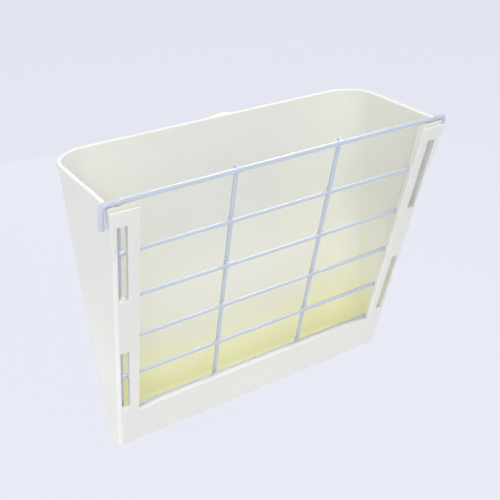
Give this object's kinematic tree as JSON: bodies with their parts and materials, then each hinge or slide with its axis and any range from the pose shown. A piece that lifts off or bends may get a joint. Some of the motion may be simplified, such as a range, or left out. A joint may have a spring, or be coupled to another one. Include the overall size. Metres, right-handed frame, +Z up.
{
  "type": "rabbit hay feeder",
  "caption": "Wall-hung hay trough with a hinged wire grid in its open sloping front and a screw clamp on its back for a wire pen.",
  "frame": {"origin": "axis of the clamp stud where it leaves the back wall's outer face", "axes": "+X across the feeder's width, +Y out of the back along the clamp stud, +Z up; the open front faces -Y"},
  "size_m": [0.2526, 0.1342, 0.2255],
  "materials": {
    "ivory_plastic": "moulded, satin gloss, slightly translucent ivory",
    "clamp_plastic": "moulded, satin gloss ivory",
    "coated_wire": "pale blue-white plastic coating, glossy"
  },
  "bodies": {
    "feeder": {"trough": "ivory_plastic", "clamp_stud": "clamp_plastic"},
    "grid": {"top_wire": "coated_wire", "cross_wire_1": "coated_wire", "cross_wire_2": "coated_wire", "cross_wire_3": "coated_wire", "cross_wire_4": "coated_wire", "cross_wire_5": "coated_wire", "upright_1": "coated_wire", "upright_2": "coated_wire", "upright_3": "coated_wire", "upright_4": "coated_wire"},
    "washer": {"clamp_washer": "clamp_plastic"},
    "knob": {"clamp_knob": "clamp_plastic"}
  },
  "joints": [
    {"name": "grid_swing", "type": "hinge", "parent": "feeder", "child": "grid", "pos_m": [0, -0.09928, 0.0267], "axis": [1, 0, 0], "range_deg": [0, 9.1]},
    {"name": "clamp_slide", "type": "slide", "parent": "feeder", "child": "washer", "axis": [0, 1, 0], "range_m": [-0.002, 0.012]},
    {"name": "knob_turn", "type": "hinge", "parent": "washer", "child": "knob", "pos_m": [0, 0.0066, 0], "axis": [0, 1, 0], "range_deg": [-240, 1440]}
  ],
  "couplings": [
    {"joint": "clamp_slide", "follows": "knob_turn", "m_per_rad": 0.00047746}
  ]
}
